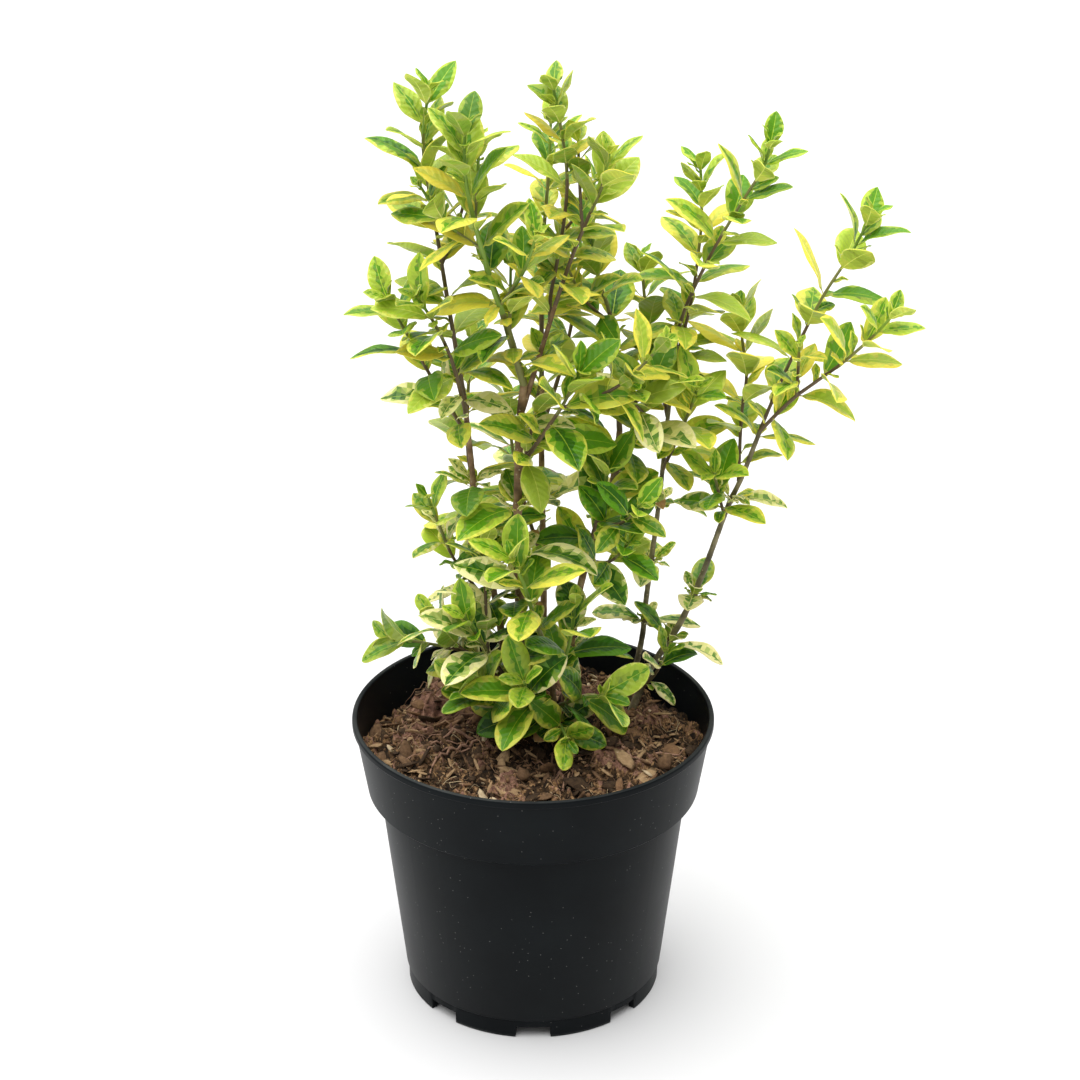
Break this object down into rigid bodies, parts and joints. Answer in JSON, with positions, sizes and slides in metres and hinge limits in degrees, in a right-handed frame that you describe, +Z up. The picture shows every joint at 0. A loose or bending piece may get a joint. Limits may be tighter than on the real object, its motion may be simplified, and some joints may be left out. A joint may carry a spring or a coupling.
{
  "type": "potted variegated privet shrub",
  "caption": "Young variegated privet shrub with slender upright stems and yellow and cream edged leaves, in a round black plastic nursery pot of soil.",
  "frame": {"origin": "middle of the pot's flat underside, on the pot's axis", "axes": "+Z up the pot, -Y the side that the picture shows, +X to its right"},
  "size_m": [0.2593, 0.1775, 0.4523],
  "materials": {
    "pot_plastic": "moulded black polypropylene with a soft sheen",
    "soil": "moist peat and bark compost with fibres",
    "bark": "smooth grey-brown young bark",
    "leaves_gold": "leathery leaf, golden edge",
    "leaves_lime": "leathery leaf, lime edge",
    "leaves_cream": "leathery leaf, cream edge",
    "leaves_dark": "leathery leaf, deep green"
  },
  "bodies": {
    "root": {"bough_top_right": "bark", "foliage_back_high": "leaves_lime", "foliage_back_left": "leaves_gold", "foliage_back_low": "leaves_cream", "foliage_back_pair_1": "leaves_cream", "foliage_back_right": "leaves_lime", "foliage_centre_front": "leaves_lime", "foliage_centre_mid": "leaves_dark", "foliage_centre_pair_1": "leaves_cream", "foliage_centre_pair_2": "leaves_cream", "foliage_centre_pair_3": "leaves_cream", "foliage_centre_pair_4": "leaves_cream", "foliage_centre_pair_5": "leaves_cream", "foliage_centre_right": "leaves_lime", "foliage_front_foot": "leaves_dark", "foliage_front_low": "leaves_dark", "foliage_front_mid": "leaves_lime", "foliage_front_side": "leaves_dark", "foliage_front_top": "leaves_lime", "foliage_inner_pair_1": "leaves_cream", "foliage_inner_pair_2": "leaves_cream", "foliage_inner_top": "leaves_gold", "foliage_left_foot": "leaves_cream", "foliage_left_front": "leaves_dark", "foliage_left_high": "leaves_lime", "foliage_left_low": "leaves_lime", "foliage_left_pair_1": "leaves_cream", "foliage_left_pair_2": "leaves_cream", "foliage_left_pair_3": "leaves_cream", "foliage_left_pair_4": "leaves_cream", "foliage_left_side": "leaves_cream", "foliage_left_small": "leaves_lime", "foliage_mid_right_low": "leaves_gold", "foliage_mid_right_pair_1": "leaves_cream", "foliage_mid_right_pair_2": "leaves_cream", "foliage_mid_right_pair_3": "leaves_cream", "foliage_right_back_tip": "leaves_lime", "foliage_right_foot": "leaves_cream", "foliage_right_inner": "leaves_gold", "foliage_right_out": "leaves_gold", "foliage_right_pair_1": "leaves_cream", "foliage_right_pair_2": "leaves_cream", "foliage_right_pair_3": "leaves_cream", "foliage_right_small": "leaves_lime", "foliage_right_up": "leaves_lime", "foliage_top_back": "leaves_gold", "foliage_top_centre": "leaves_gold", "foliage_top_front": "leaves_gold", "foliage_top_left": "leaves_lime", "foliage_top_right": "leaves_lime", "foliage_top_spire": "leaves_lime", "pot": "pot_plastic", "soil": "soil", "stem_back": "bark", "stem_centre": "bark", "stem_front": "bark", "stem_inner": "bark", "stem_left": "bark", "stem_mid_right": "bark", "stem_right": "bark"}
  },
  "joints": []
}
